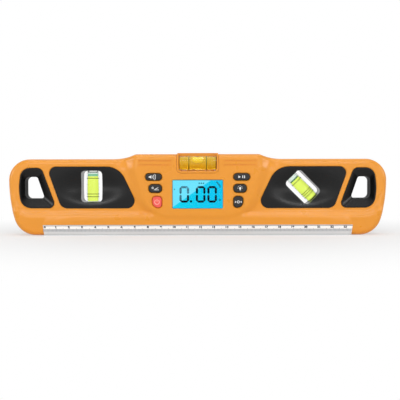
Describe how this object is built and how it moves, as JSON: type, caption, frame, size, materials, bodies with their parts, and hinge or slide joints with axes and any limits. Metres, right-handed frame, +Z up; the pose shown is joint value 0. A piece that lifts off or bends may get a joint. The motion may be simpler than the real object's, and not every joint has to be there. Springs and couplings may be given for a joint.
{
  "type": "digital spirit level",
  "caption": "Hand-held digital inclinometer and spirit level with a lit display, vials for level, plumb and 45 degrees, a scaled rail and finger holes.",
  "frame": {"origin": "centre of the base, on the surface that the rail rests on", "axes": "+X along the length towards the 45 degree vial, -Y out of the display face, +Z up"},
  "size_m": [0.2882, 0.0298, 0.0629],
  "materials": {
    "orange_plastic": "moulded ABS, satin with a fine spark texture",
    "black_plastic": "moulded ABS, satin black",
    "black_rubber": "moulded silicone, matt",
    "red_rubber": "moulded silicone, matt",
    "aluminium": "extruded, fine lengthwise grain",
    "scale_print": "printed white over aluminium",
    "vial_acrylic": "clear cast acrylic",
    "green_liquid": "yellow green spirit",
    "amber_liquid": "amber yellow spirit",
    "line_black": "printed black",
    "lens_clear": "clear polycarbonate",
    "display_cyan": "lit liquid crystal glass",
    "backlight_white": "white light guide",
    "frame_plastic": "moulded ABS",
    "board_green": "solder mask on glass fibre",
    "chip_black": "moulded epoxy",
    "steel": "zinc plated",
    "magnet_nickel": "nickel plated",
    "cell_jacket": "printed steel jacket, plain"
  },
  "bodies": {
    "housing": {"front_shell": "orange_plastic", "rear_shell": "orange_plastic", "level_vial_cradle": "orange_plastic", "shell_screws": "steel", "base_rail": "aluminium", "scale_strip": "scale_print", "rail_magnets": "magnet_nickel", "left_grip_liner": "black_plastic", "right_grip_liner": "black_plastic", "plumb_panel_front": "black_plastic", "plumb_panel_rear": "black_plastic", "slant_panel_front": "black_plastic", "slant_panel_rear": "black_plastic", "display_lens": "lens_clear", "display_glass": "display_cyan", "backlight": "backlight_white", "display_frame": "frame_plastic", "circuit_board": "board_green", "board_screws": "steel", "button_switches": "chip_black", "tilt_sensor": "chip_black", "controller_chip": "chip_black", "buzzer": "chip_black", "battery_tray": "frame_plastic", "batteries": "cell_jacket", "battery_terminals": "steel", "battery_springs": "steel", "plumb_vial_body": "vial_acrylic", "plumb_vial_plug": "vial_acrylic", "plumb_vial_liquid": "green_liquid", "plumb_vial_rings": "line_black", "slant_vial_body": "vial_acrylic", "slant_vial_plug": "vial_acrylic", "slant_vial_liquid": "green_liquid", "slant_vial_rings": "line_black", "level_vial_body": "vial_acrylic", "level_vial_plug": "vial_acrylic", "level_vial_liquid": "amber_liquid", "level_vial_rings": "line_black"},
    "sound_key": {"sound_button": "black_rubber"},
    "unit_key": {"unit_button": "black_rubber"},
    "power_key": {"power_button": "red_rubber"},
    "hold_key": {"hold_button": "black_rubber"},
    "light_key": {"light_button": "black_rubber"},
    "zero_key": {"zero_button": "black_rubber"},
    "battery_cover": {"battery_door": "orange_plastic"}
  },
  "joints": [
    {"name": "sound_press", "type": "slide", "parent": "housing", "child": "sound_key", "axis": [0, 1, 0], "range_m": [0, 0.0006], "stiffness_N_per_m": 1500},
    {"name": "unit_press", "type": "slide", "parent": "housing", "child": "unit_key", "axis": [0, 1, 0], "range_m": [0, 0.0006], "stiffness_N_per_m": 1500},
    {"name": "power_press", "type": "slide", "parent": "housing", "child": "power_key", "axis": [0, 1, 0], "range_m": [0, 0.0006], "stiffness_N_per_m": 1500},
    {"name": "hold_press", "type": "slide", "parent": "housing", "child": "hold_key", "axis": [0, 1, 0], "range_m": [0, 0.0006], "stiffness_N_per_m": 1500},
    {"name": "light_press", "type": "slide", "parent": "housing", "child": "light_key", "axis": [0, 1, 0], "range_m": [0, 0.0006], "stiffness_N_per_m": 1500},
    {"name": "zero_press", "type": "slide", "parent": "housing", "child": "zero_key", "axis": [0, 1, 0], "range_m": [0, 0.0006], "stiffness_N_per_m": 1500},
    {"name": "battery_cover_lift", "type": "slide", "parent": "housing", "child": "battery_cover", "axis": [0, 1, 0], "range_m": [0, 0.02]}
  ]
}
